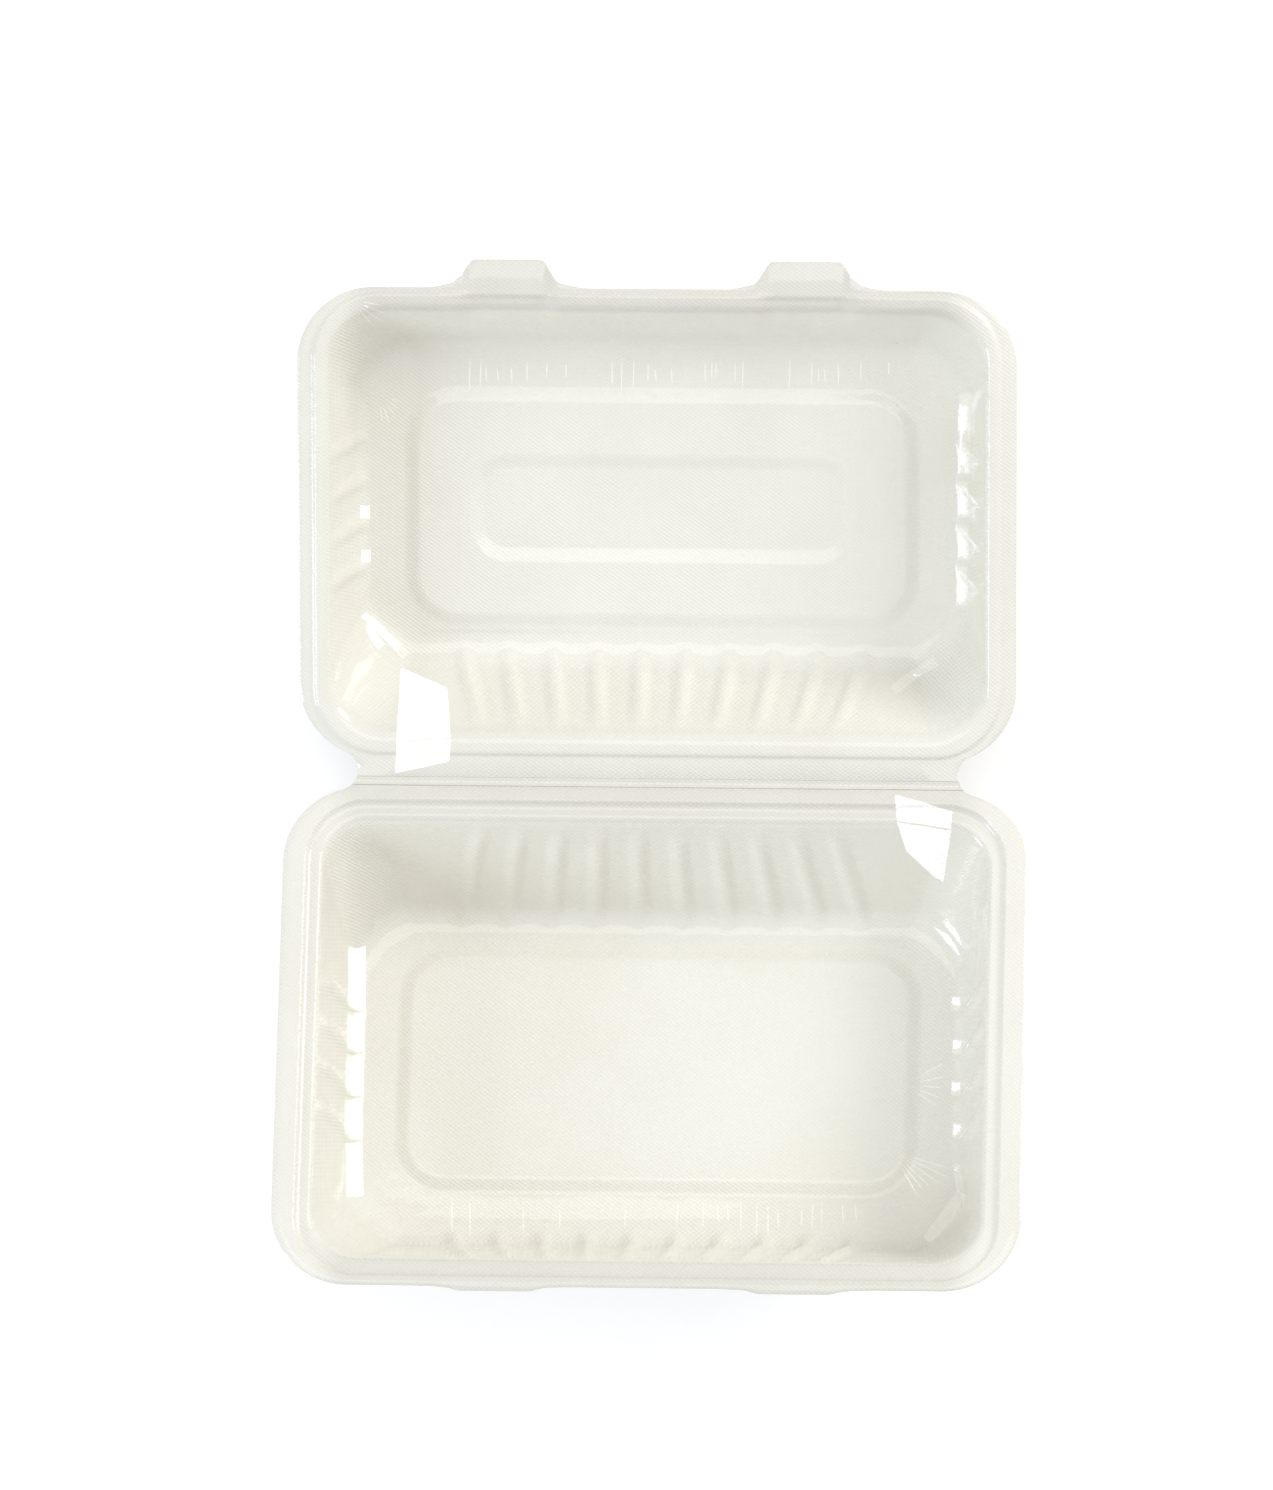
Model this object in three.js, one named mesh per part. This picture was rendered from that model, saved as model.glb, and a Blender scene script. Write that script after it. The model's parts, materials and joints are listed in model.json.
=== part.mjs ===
// A takeaway clamshell box pressed from plant fibre, lying open on a table, in millimetres.
// The tray and the lid are thin shells of one pressed sheet, joined along a straight fold.
// Each half is drawn in its own flat frame: x across, v away from the fold, z up out of the
// hollow, with the flange's top face at z = 0. A half is a stack of loops, from its outer edge
// down the wall to the middle of its floor, and the sheet's thickness is added below them.

import * as THREE from "three";

// The sheet and the fold
const sheet = 0.8;              // thickness of the pressed fibre
const foldGap = 0.3;            // slot left between the two halves along the fold
const axisLift = 0.25;          // height of the fold's axis above the flanges
const openLift = 28;            // degrees that the open lid stands up from flat
const neckWidth = 187;          // width of the sheet where its two notches are deepest
const notchShare = 0.58;        // where that is, in the gap from the tray's outline to the lid's

// The tray
const trayWidth = 232;
const trayLength = 162.5;       // from the fold to the front edge
const trayNeck = 2;             // from the fold to the tray's rounded outline
const trayCorner = 24;          // outside corner radius
const trayDepth = 45;
const trayFloorWidth = 190;
const trayFloorStart = 29.3;    // from the fold to the floor's near edge
const trayFloorLength = 107.2;
const trayFlangeSide = 7;
const trayFlangeHinge = 3.95;
const trayFlangeFront = 3;
const ledgeDrop = 1.8;          // the step that takes the lid's bead
const ledgeSlope = 1.1;         // how far in the side of that step runs
const ledgeWidth = 3;
const lipOut = 1.5;             // the front edge's two low lips, under the lid's tabs

// The lid
const lidWidth = 223.4;
const lidLength = 155.7;
const lidNeck = 7;
const lidCorner = 24;
const lidDepth = 30;
const lidPanelWidth = 189;
const lidPanelStart = 32.9;
const lidPanelLength = 99.8;
const lidEdgeSide = 4.6;        // the flat edge outside the bead
const lidEdgeLong = 1.2;        // the same along the fold and the free side
const beadHeight = 1.1;
const beadSlope = 1.1;
const beadWidth = 2.6;
const beadFall = 0.3;           // how far the bead falls again towards the wall

// The two locking tabs on the lid's free edge
const tabSpacing = 92.6;
const tabTip = 20.5;            // width of a tab's end
const tabSide = 6;              // across each of its steep sides
const tabFlare = 15;            // across the flare by which it leaves the edge
const tabFlareShare = 0.28;     // part of its reach that the flare takes
const tabOut = 8.6;
const tabDrop = 1.4;
const scoopDrop = 3.4;          // the wall's top is pressed down behind a tab
const scoopReach = 14;          // how far down the wall that is felt

// The walls
const shoulderReach = 1;        // rounding at a wall's top: in towards the hollow, and down
const shoulderDrop = 2.6;
const footRound = 6.5;          // rounding at its foot: up the wall, and out over the floor
const footReach = 3.6;
const floorCorner = 15;
const cornerCut = 0.6;          // how far the floor's corners are cut across, 1 being straight

// The ribs that stand into the hollow
const ribDepth = 1.6;
const ribHalf = 0.3;            // half a rib's width, in pitches
const ribFade = 6;              // height over which the ribs rise below the shoulder
const longRibs = 10;
const sideRibs = 4;
const ribPitchTop = 12.1;
const ribPitchFloor = 13.9;
const sideRibPitch = 13.6;

// The fields pressed into the floors, measured at the middle of their slopes
const reliefSlope = 4;
const trayRelief = { width: 159, from: 43, to: 118, corner: 14, rise: 1.7 };
const lidRelief = { width: 156, from: 46, to: 117.4, corner: 14, rise: 1.7 };
const lidRecess = { width: 115.6, from: 66.6, to: 96.4, corner: 9.5, rise: -1.5 };

// How finely the rounds are drawn
const cornerSteps = 5;
const shoulderSteps = 2;
const footSteps = 3;
const notchSteps = 6;

const { lerp } = THREE.MathUtils;
const smooth = (t) => THREE.MathUtils.smoothstep(t, 0, 1);

// 1 over a tab's end, falling over its steep sides and then its flare to 0
function tabWeight(x) {
  const beyond = Math.abs(Math.abs(x) - tabSpacing / 2) - tabTip / 2;
  const steep = 1 - smooth(beyond / tabSide);
  const flare = 1 - smooth(beyond / tabFlare);
  return lerp(steep, flare, tabFlareShare);
}

// Makers of the points along a side: their places along it, and how far each stands in (0 to 1)
const plain = () => [];

const ribbed = (ribs, pitch, shares) => (level) => {
  const points = [];
  for (let rib = 0; rib < ribs; rib += 1) {
    for (const share of shares) {
      const along = (rib - (ribs - 1) / 2 + share * ribHalf) * level[pitch];
      points.push({ along, stand: Math.cos(share * Math.PI / 2) ** 2 });
    }
  }
  return points;
};

const tabbed = () => {
  const tip = tabTip / 2;
  const bends = [0.25, 0.5, 0.75, 1].map((share) => tip + share * tabSide);
  const outwards = [tip, ...bends, tip + (tabSide + tabFlare) / 2, tip + tabFlare];
  const across = [...outwards.map((away) => -away).reverse(), 0, ...outwards];
  return [-1, 1].flatMap((side) => across.map((away) => ({ along: side * tabSpacing / 2 + away, stand: 0 })));
};

const plainSides = [plain, plain, plain, plain];
const edgeSides = [plain, plain, tabbed, plain];

// Sides with points across each rib, or with one point a rib where the ribs haven't risen yet
function wallSides(shares, free) {
  const long = ribbed(longRibs, "pitch", shares);
  const short = ribbed(sideRibs, "sidePitch", shares);
  return [long, short, free ?? long, short];
}

const acrossRib = [-1, -0.5, 0, 0.5, 1];
const trayWall = { shoulder: wallSides([0]), ribs: wallSides(acrossRib) };
const lidWall = { shoulder: wallSides([0], tabbed), ribs: wallSides(acrossRib, tabbed) };

// Each point of a loop has a turn, from 0 to 4, that says how far round it lies. In each unit of
// turn a side comes first, and then the corner after it.
const sideFrom = 0.1;
const sideTo = 0.8;
const cornerTurn = 1 + sideFrom - sideTo;

// One closed loop round a half, counter-clockwise seen from above, from the fold side on. A level
// says its width, its near and far v, corner radius and height, and what its ribs and tabs do.
function loop(level, sides) {
  const { near, far, corner, cut = 0, rib = 0 } = level;
  const half = level.width / 2;
  const middle = (near + far) / 2;
  const reach = (far - near) / 2;
  const frames = [
    { at: [0, near], along: [1, 0], run: half - corner },
    { at: [half, middle], along: [0, 1], run: reach - corner },
    { at: [0, far], along: [-1, 0], run: half - corner },
    { at: [-half, middle], along: [0, -1], run: reach - corner },
  ];
  const points = [];
  frames.forEach(({ at, along: [ax, av], run }, index) => {
    const add = (along, inward, turn) => {
      points.push({ x: at[0] + ax * along - av * inward, v: at[1] + av * along + ax * inward, turn });
    };
    add(-run, 0, index + sideFrom);
    for (const { along, stand } of sides[index](level)) {
      add(along, stand * rib, index + lerp(sideFrom, sideTo, (1 + along / run) / 2));
    }
    add(run, 0, index + sideTo);
    for (let k = 1; k < cornerSteps; k += 1) {
      const share = k / cornerSteps;
      const angle = share * Math.PI / 2;
      const along = lerp(Math.sin(angle), share, cut);
      const inward = lerp(1 - Math.cos(angle), share, cut);
      add(run + corner * along, corner * inward, index + sideTo + cornerTurn * share);
    }
  });
  return points.map(({ x, v, turn }) => {
    const weight = v > far - 1e-6 ? tabWeight(x) : 0;
    const out = v + weight * (level.tabOut ?? 0);
    return { p: new THREE.Vector3(x, out, level.z - weight * (level.tabDrop ?? 0)), turn };
  });
}

// An open surface of loops from the outside in, closed by a fan at the middle
class Surface {
  constructor() {
    this.points = [];
    this.faces = [];
    this.loops = [];
  }

  addLoop(loopPoints) {
    const first = this.points.length;
    loopPoints.forEach(({ p }) => this.points.push(p));
    const ids = loopPoints.map(({ turn }, k) => ({ id: first + k, turn }));
    if (this.loops.length > 0) this.stitch(this.loops[this.loops.length - 1], ids);
    this.loops.push(ids);
  }

  // Fills the band between two loops, point by point where they have as many, or else by turn
  stitch(outer, inner) {
    const paired = outer.length === inner.length;
    const at = (ring, k) => ring[k % ring.length].id;
    const turn = (ring, k) => (paired ? k : ring[k % ring.length].turn + 4 * Math.floor(k / ring.length));
    let i = 0;
    let j = 0;
    while (i < outer.length || j < inner.length) {
      const outerNext = i < outer.length && turn(outer, i + 1) < turn(inner, j + 1);
      if (j >= inner.length || outerNext) {
        this.faces.push([at(outer, i), at(outer, i + 1), at(inner, j)]);
        i += 1;
      } else {
        this.faces.push([at(outer, i), at(inner, j + 1), at(inner, j)]);
        j += 1;
      }
    }
  }

  closeMiddle() {
    const ring = this.loops[this.loops.length - 1];
    const middle = new THREE.Vector3();
    ring.forEach(({ id }) => middle.add(this.points[id]));
    const centre = this.points.push(middle.divideScalar(ring.length)) - 1;
    ring.forEach(({ id }, k) => this.faces.push([id, ring[(k + 1) % ring.length].id, centre]));
  }

  // For each point, the step that brings every face round it one unit down, by least squares. A
  // slight pull towards no step at all settles the directions that the faces leave open.
  steps() {
    const pull = 0.01;
    const sums = this.points.map(() => ({ down: new THREE.Vector3(), spread: [0, 0, 0, 0, 0, 0] }));
    for (const face of this.faces) {
      const corners = face.map((id) => this.points[id]);
      const edges = corners.map((p, k) => corners[(k + 1) % 3].clone().sub(p));
      const n = new THREE.Vector3().crossVectors(edges[0], edges[1]).normalize();
      const pairs = [n.x * n.x, n.x * n.y, n.x * n.z, n.y * n.y, n.y * n.z, n.z * n.z];
      face.forEach((id, k) => {
        const weight = Math.PI - edges[k].angleTo(edges[(k + 2) % 3]);
        sums[id].down.addScaledVector(n, -weight);
        pairs.forEach((value, m) => { sums[id].spread[m] += weight * value; });
      });
    }
    return sums.map(({ down, spread: [xx, xy, xz, yy, yz, zz] }) => {
      const hold = pull * (xx + yy + zz);
      const solve = new THREE.Matrix3().set(
        xx + hold, xy, xz,
        xy, yy + hold, yz,
        xz, yz, zz + hold,
      ).invert();
      return down.clone().applyMatrix3(solve).multiplyScalar(1 + pull);
    });
  }

  // A closed shell: this surface on top, its copy a sheet's thickness below, and the edge between
  thicken(thickness) {
    const count = this.points.length;
    const steps = this.steps();
    const below = this.points.map((p, id) => p.clone().addScaledVector(steps[id], thickness));
    const faces = [...this.faces];
    for (const [a, b, c] of this.faces) faces.push([a + count, c + count, b + count]);
    const edge = this.loops[0];
    edge.forEach(({ id }, k) => {
      const next = edge[(k + 1) % edge.length].id;
      faces.push([id, id + count, next + count]);
      faces.push([id, next + count, next]);
    });
    const geometry = new THREE.BufferGeometry().setFromPoints([...this.points, ...below]);
    geometry.setIndex(faces.flat());
    geometry.computeVertexNormals();
    return geometry;
  }
}

// A level inside another one, by its own amount at the sides, the fold and the free side
function inset(level, { side, near, far, ...changes }) {
  return {
    ...level,
    width: level.width - 2 * side,
    near: level.near + near,
    far: level.far - far,
    corner: level.corner - (side + far) / 2,
    ...changes,
  };
}

function floorLevel(width, start, length, depth) {
  return { width, near: start, far: start + length, corner: floorCorner, cut: cornerCut, z: -depth };
}

// A wall's section, x being the share of its run inwards and y the share of its depth: a straight
// slope between a rounded shoulder and a rounded foot, with a stop where the ribs reach full height
function wallSection(run, depth) {
  const onSlope = (down) => new THREE.Vector2(lerp(shoulderReach / run, 1, down / depth), down / depth);
  const top = new THREE.Vector2(0, 0);
  const floor = new THREE.Vector2(1 + footReach / run, 1);
  const shoulder = new THREE.QuadraticBezierCurve(top, onSlope(0), onSlope(shoulderDrop));
  const foot = new THREE.QuadraticBezierCurve(onSlope(depth - footRound), onSlope(depth), floor);
  return [
    ...shoulder.getPoints(shoulderSteps),
    onSlope(shoulderDrop + ribFade),
    ...foot.getPoints(footSteps),
  ];
}

// The wall from its top to the floor. The ribs rise from the shoulder's end and fade over the foot,
// so every loop from there on has their points.
function addWall(surface, top, floor, sides) {
  const run = (top.width - floor.width) / 2;
  const depth = top.z - floor.z;
  for (const { x: inward, y: down } of wallSection(run, depth)) {
    const below = down * depth;
    const overFloor = (inward - 1) * run;
    const rise = smooth((below - shoulderDrop) / ribFade) * (1 - smooth(overFloor / footReach));
    const level = {
      width: lerp(top.width, floor.width, inward),
      near: lerp(top.near, floor.near, inward),
      far: lerp(top.far, floor.far, inward),
      corner: lerp(top.corner, floor.corner, down),
      cut: floor.cut * down,
      z: lerp(top.z, floor.z, down),
      pitch: lerp(ribPitchTop, ribPitchFloor, down),
      sidePitch: sideRibPitch,
      rib: ribDepth * rise,
      tabDrop: (top.tabDrop ?? 0) * (1 - smooth(below / scoopReach)),
    };
    surface.addLoop(loop(level, below < shoulderDrop - 1e-6 ? sides.shoulder : sides.ribs));
  }
}

// A raised or sunken field on a floor, with sloping sides
function addRelief(surface, relief, z) {
  for (const [side, height] of [[1, 0], [-1, relief.rise]]) {
    const grow = side * reliefSlope / 2;
    surface.addLoop(loop({
      width: relief.width + 2 * grow,
      near: relief.from - grow,
      far: relief.to + grow,
      corner: relief.corner + grow,
      z: z + height,
    }, plainSides));
  }
}

// The outer edge of a half: its outline, drawn out to the fold between two round notches. A notch
// runs into the outline's corner, and notchAt is the v where it is deepest.
function outerEdge(outline, notchAt) {
  const { width, near, corner } = outline;
  const start = foldGap / 2;
  const across = neckWidth / 2 - (width / 2 - corner);
  const away = near + corner - notchAt;
  const radius = (across ** 2 + away ** 2 - corner ** 2) / (2 * (corner - across));
  const atFold = Math.PI + Math.asin((notchAt - start) / radius);
  const atCorner = Math.atan2(away, -(across + radius));
  const notchTurn = cornerTurn * (atCorner - Math.PI / 2) / (Math.PI / 2);
  const last = 4 + sideFrom;
  const notch = (side, share) => {
    const angle = lerp(atFold, atCorner, share);
    const x = side * (neckWidth / 2 + radius * (1 + Math.cos(angle)));
    const turn = side > 0 ? sideTo + share * notchTurn : last - share * notchTurn;
    return { p: new THREE.Vector3(x, notchAt + radius * Math.sin(angle), outline.z), turn };
  };
  const shares = Array.from({ length: notchSteps + 1 }, (_, k) => k / notchSteps);
  const pastNotch = notchTurn + cornerTurn / (4 * cornerSteps);
  const kept = ({ turn }) => turn > sideTo + pastNotch && turn < last - pastNotch;
  return [
    { ...notch(-1, 0), turn: sideFrom },
    ...shares.map((share) => notch(1, share)),
    ...loop(outline, edgeSides).filter(kept),
    ...shares.slice(1).reverse().map((share) => notch(-1, share)),
  ];
}

const notchPlace = lerp(-trayNeck, lidNeck, notchShare);

function trayShell() {
  const outline = {
    width: trayWidth, near: trayNeck, far: trayLength, corner: trayCorner, z: 0, tabOut: lipOut,
  };
  const flange = inset(outline, {
    side: trayFlangeSide, near: trayFlangeHinge, far: trayFlangeFront, tabOut: 0,
  });
  const ledge = inset(flange, { side: ledgeSlope, near: ledgeSlope, far: ledgeSlope, z: -ledgeDrop });
  const top = inset(ledge, { side: ledgeWidth, near: ledgeWidth, far: ledgeWidth });
  const surface = new Surface();
  surface.addLoop(outerEdge(outline, -notchPlace));
  for (const level of [flange, ledge]) surface.addLoop(loop(level, edgeSides));
  addWall(surface, top, floorLevel(trayFloorWidth, trayFloorStart, trayFloorLength, trayDepth), trayWall);
  addRelief(surface, trayRelief, -trayDepth);
  surface.closeMiddle();
  return surface.thicken(sheet);
}

function lidShell() {
  const outline = {
    width: lidWidth, near: lidNeck, far: lidLength, corner: lidCorner, z: 0, tabOut, tabDrop,
  };
  const edge = inset(outline, { side: lidEdgeSide, near: lidEdgeLong, far: lidEdgeLong, tabOut: 0 });
  const bead = inset(edge, {
    side: beadSlope, near: beadSlope, far: beadSlope, z: beadHeight, tabDrop: tabDrop + beadHeight,
  });
  const top = inset(bead, {
    side: beadWidth, near: beadWidth, far: beadWidth / 2, z: beadHeight - beadFall, tabDrop: scoopDrop,
  });
  const surface = new Surface();
  surface.addLoop(outerEdge(outline, notchPlace));
  for (const level of [edge, bead]) surface.addLoop(loop(level, edgeSides));
  addWall(surface, top, floorLevel(lidPanelWidth, lidPanelStart, lidPanelLength, lidDepth), lidWall);
  addRelief(surface, lidRelief, -lidDepth);
  addRelief(surface, lidRecess, lidRelief.rise - lidDepth);
  surface.closeMiddle();
  return surface.thicken(sheet);
}

function halfMesh(name, geometry) {
  const material = new THREE.MeshStandardMaterial({ color: 0xeceae0, roughness: 0.35, metalness: 0 });
  const mesh = new THREE.Mesh(geometry, material);
  mesh.name = name;
  return mesh;
}

// The two halves, each turned into the flat frame of the fold: the tray lies towards -y
const tray = halfMesh("base_tray", trayShell());
tray.rotation.z = Math.PI;

const lid = halfMesh("lid", lidShell());
lid.position.z = -axisLift;

const lidHinge = new THREE.Group();
lidHinge.position.z = axisLift;
lidHinge.rotation.x = THREE.MathUtils.degToRad(openLift);
lidHinge.add(lid);

const halves = new THREE.Group();
halves.add(tray, lidHinge);

function pointsOf(mesh, root) {
  root.updateMatrixWorld(true);
  const position = mesh.geometry.getAttribute("position");
  const points = [];
  for (let k = 0; k < position.count; k += 1) {
    points.push(new THREE.Vector3().fromBufferAttribute(position, k).applyMatrix4(mesh.matrixWorld));
  }
  return points;
}

// The open box leans until the hinge-side corners of the tray's floor and of the lid's panel both
// touch the table, as it comes to rest when it is put down
function restTilt(trayPoints, lidPoints) {
  let tilt = 0;
  const lowest = (points) => {
    const height = (p) => p.y * Math.sin(tilt) + p.z * Math.cos(tilt);
    return points.reduce((low, p) => (height(p) < height(low) ? p : low));
  };
  for (let pass = 0; pass < 8; pass += 1) {
    const one = lowest(trayPoints);
    const two = lowest(lidPoints);
    tilt = -Math.atan2(two.z - one.z, two.y - one.y);
  }
  return tilt;
}

halves.rotation.x = restTilt(pointsOf(tray, halves), pointsOf(lid, halves));

const container = new THREE.Group();
container.add(halves);
const box = new THREE.Box3().setFromPoints([tray, lid].flatMap((half) => pointsOf(half, container)));
halves.position.set(0, -(box.min.y + box.max.y) / 2, -box.min.z);

export default container;
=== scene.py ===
"""Looks for a film-lined clamshell box of pressed plant fibre, lying open, built round its CAD frame.

Each half is drawn in its own flat frame in millimetres: x across, v away from the fold, z up out
of the hollow, the flange's top at z = 0. The halves are then placed as they lie at rest.
"""

import json
import math

import bpy
import numpy as np
from mathutils import Matrix, Vector
from mathutils.bvhtree import BVHTree


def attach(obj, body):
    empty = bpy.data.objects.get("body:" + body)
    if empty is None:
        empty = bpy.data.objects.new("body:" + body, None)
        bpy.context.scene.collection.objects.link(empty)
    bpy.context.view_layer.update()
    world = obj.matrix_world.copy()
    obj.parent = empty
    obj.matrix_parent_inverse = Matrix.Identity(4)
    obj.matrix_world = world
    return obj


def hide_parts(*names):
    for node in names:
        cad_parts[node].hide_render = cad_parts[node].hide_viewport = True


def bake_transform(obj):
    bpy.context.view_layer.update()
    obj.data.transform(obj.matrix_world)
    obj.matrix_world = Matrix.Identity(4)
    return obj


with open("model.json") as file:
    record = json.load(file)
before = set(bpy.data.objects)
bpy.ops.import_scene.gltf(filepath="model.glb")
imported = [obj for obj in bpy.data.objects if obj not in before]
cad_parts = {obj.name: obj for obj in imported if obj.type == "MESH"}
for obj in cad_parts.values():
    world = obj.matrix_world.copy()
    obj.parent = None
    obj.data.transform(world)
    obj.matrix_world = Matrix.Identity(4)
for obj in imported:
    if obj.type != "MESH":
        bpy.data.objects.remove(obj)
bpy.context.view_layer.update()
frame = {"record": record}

MM = 0.001
HINGE = frame["record"]["behaviour"]["joints"][0]
FOLD = np.array(HINGE["pos_m"]) / MM
OPEN_LIFT = -HINGE["range_deg"][0]      # degrees that the open lid stands up from flat
REST_TILT = 24.2153         # degrees that the tray leans back as the box lies open
AXIS_LIFT = 0.25            # height of the fold's axis above the flanges
SHEET = 0.77                # thickness of the fibre, a little under the frame's, to stay in its box
STRIP = 1.2                 # half width of the strip of sheet along the fold
STRIP_DIP = 0.35            # depth of the crease pressed along it
NECK_WIDTH = 187.0          # width of the sheet where its two notches are deepest
NOTCH_PLACE = 3.22          # where that is, from the fold towards the lid
EDGE_BEVEL = 0.4            # rounding of the shell's cut edge, inwards
EDGE_DROP = 0.32            # and downwards
WARP = 0.28                 # how far the dried sheet is out of true
WALL_WARP = 0.8             # how much of that the walls have
ABOVE_SHELL = 60.0          # height in a half's flat frame that clears the shell

# Rims: steps inwards at the sides, by the fold and at the far end, and below zero outwards
TRAY_FLANGE = (7, 3.95, 3)
TRAY_FLANGE_MIDDLE = (-3.5, -1.9, -1.5)
TRAY_FLANGE_INSIDE = (-0.9, -0.8, -0.8)
LID_FLANGE = (4.6, 1.2, 1.2)
LID_FLANGE_MIDDLE = (-2.2, -0.7, -0.6)
STEP = (1.1, 1.1, 1.1)
LEDGE = (3, 3, 3)
BEAD = (2.6, 2.6, 1.3)
LEDGE_HEIGHT, BEAD_HEIGHT, LID_TOP_HEIGHT = -1.8, 1.1, 0.8

# Outlines and the fields in the floors, as width, near edge and far edge; floors, as width,
# near edge, length and depth
OUTLINE_CORNER = 24
TRAY_OUTLINE = (232, 2, 162.5)
TRAY_FLOOR = (190, 29.3, 107.2, 45)
TRAY_FIELD = (159, 43, 118)
LID_OUTLINE = (223.4, 7, 155.7)
LID_FLOOR = (189, 32.9, 99.8, 30)
LID_FIELD = (156, 46, 117.4)
LID_RECESS = (115.6, 66.6, 96.4)
FIELD_CORNER, FIELD_RISE = 14, 1.7
RECESS_CORNER, RECESS_RISE = 9.5, -1.5

# Camera, as the photograph was taken
IMAGE = (1273, 1490)
VIEW_TILT = 7.2028          # degrees from straight down, towards the lid's side
VIEW_YAW = -3.4464
VIEW_ROLL = -0.5506
VIEW_DISTANCE = 5000.0
VIEW_OFFSET = (6.4772, 11.8866)
PIXELS_PER_MM = 3.2141
SENSOR = 36.0

# The ribs, the walls' rounds and the tabs
RIB_PITCH_TOP, RIB_PITCH_FLOOR, SIDE_RIB_PITCH = 12.1, 13.9, 13.6
RIB_DEPTH, RIB_HALF, RIB_FADE, RIB_MARGIN = 1.6, 0.3, 6.0, 0.6
SHOULDER_REACH, SHOULDER_DROP = 1.0, 2.6
FOOT_ROUND, FOOT_REACH = 6.5, 3.6
FLOOR_CORNER, CORNER_CUT = 15.0, 0.6
TAB_SPACING, TAB_TIP, TAB_SIDE, TAB_FLARE, TAB_FLARE_SHARE = 92.6, 20.5, 6.0, 15.0, 0.28
TRAY_TAB_OUT, LID_TAB_OUT = 1.5, 8.6
TAB_DROPS = (1.4, 2.5, 3.4)     # how much lower a tab lies at the outline, the bead and the wall's top
SCOOP_REACH = 14.0
RELIEF_SLOPE = 4.0

# How finely the shells are drawn
RIB_SAMPLES = 12
END_SAMPLES = 9
NOTCH_COLUMNS = 12
CORNER_COLUMNS = 24
INNER_SHARES = (0.88, 0.74, 0.6, 0.46, 0.32, 0.2, 0.1, 0.0)
STRIP_COLUMNS = 61
STRIP_ROWS = 9
SHELL_SHARP, STRIP_SHARP = 48, 60       # degrees from which an edge shows as sharp


def smooth(t):
    t = np.clip(t, 0, 1)
    return t * t * (3 - 2 * t)


def lerp(one, two, share):
    return one + (two - one) * share


# Levels: what the loop round a half is like at one height

def level(width, near, far, corner, z, **more):
    """One level: its width, edges near the fold and far from it, corners' radius and height."""
    plain = {"cut": 0.0, "rib": 0.0, "pitch": RIB_PITCH_TOP, "tab_out": 0.0, "tab_drop": 0.0, "warp": 0.0}
    return plain | {"width": width, "near": near, "far": far, "corner": corner, "z": z} | more


def between(one, two, share):
    return {key: lerp(one[key], two[key], share) for key in one}


def inset(outer, side, near, far, **changes):
    """A level that lies inside another, by these distances at the sides, the near and the far edge."""
    inner = outer | {
        "width": outer["width"] - 2 * side,
        "near": outer["near"] + near,
        "far": outer["far"] - far,
        "corner": outer["corner"] - (side + far) / 2,
    }
    return inner | changes


def rounded(levels, passes):
    """Cuts the corners of a section, so that it turns smoothly from level to level."""
    for _ in range(passes):
        out = [levels[0]]
        for one, two in zip(levels[:-1], levels[1:]):
            out += [between(one, two, 0.25), between(one, two, 0.75)]
        levels = out + [levels[-1]]
    return levels


def bend(start, corner, end, shares):
    """Points of the quadratic curve from start to end that its corner pulls on."""
    return [(1 - s) ** 2 * start + 2 * s * (1 - s) * corner + s * s * end for s in shares]


def wall_section(run, depth):
    """The wall's section, as shares of its run inwards and of its depth."""
    def on_slope(down):
        return np.array([lerp(SHOULDER_REACH / run, 1, down / depth), down / depth])

    shoulder = bend(np.zeros(2), on_slope(0), on_slope(SHOULDER_DROP), np.linspace(0, 1, 5))
    slope = [on_slope(down) for down in np.linspace(SHOULDER_DROP, depth - FOOT_ROUND, 9)[1:-1]]
    floor = np.array([1 + FOOT_REACH / run, 1.0])
    foot = bend(on_slope(depth - FOOT_ROUND), on_slope(depth), floor, np.linspace(0, 1, 8))
    return shoulder + slope + foot


def wall_levels(top, floor):
    """The levels from a wall's top down to the floor, with the ribs pressed into it."""
    run = (top["width"] - floor["width"]) / 2
    depth = top["z"] - floor["z"]
    levels = []
    for inward, down in wall_section(run, depth):
        below = down * depth
        over_floor = (inward - 1) * run
        rise = smooth((below - SHOULDER_DROP) / RIB_FADE) * (1 - smooth(over_floor / FOOT_REACH))
        levels.append(level(
            width=lerp(top["width"], floor["width"], inward),
            near=lerp(top["near"], floor["near"], inward),
            far=lerp(top["far"], floor["far"], inward),
            corner=lerp(top["corner"], floor["corner"], down),
            z=lerp(top["z"], floor["z"], down),
            cut=floor["cut"] * down,
            pitch=lerp(RIB_PITCH_TOP, RIB_PITCH_FLOOR, down),
            rib=RIB_DEPTH * rise,
            tab_drop=top["tab_drop"] * (1 - smooth(below / SCOOP_REACH)),
            warp=math.sin(math.pi * min(down, 1.0)) * WALL_WARP,
        ))
    return levels


def relief_levels(width, near, far, corner, z, rise):
    """The sloping side of a field pressed into a floor, at four places out from its middle."""
    levels = []
    for grow, height in [(1.5, 0.0), (1.0, 0.0), (-1.0, 1.0), (-1.5, 1.0)]:
        g = grow * RELIEF_SLOPE / 2
        levels.append(level(width + 2 * g, near - g, far + g, corner + g, z + height * rise,
                            pitch=RIB_PITCH_FLOOR, warp=1.0))
    return levels


def floor_level(width, near, length, depth):
    return level(width, near, near + length, FLOOR_CORNER, -depth, cut=CORNER_CUT, pitch=RIB_PITCH_FLOOR)


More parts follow.
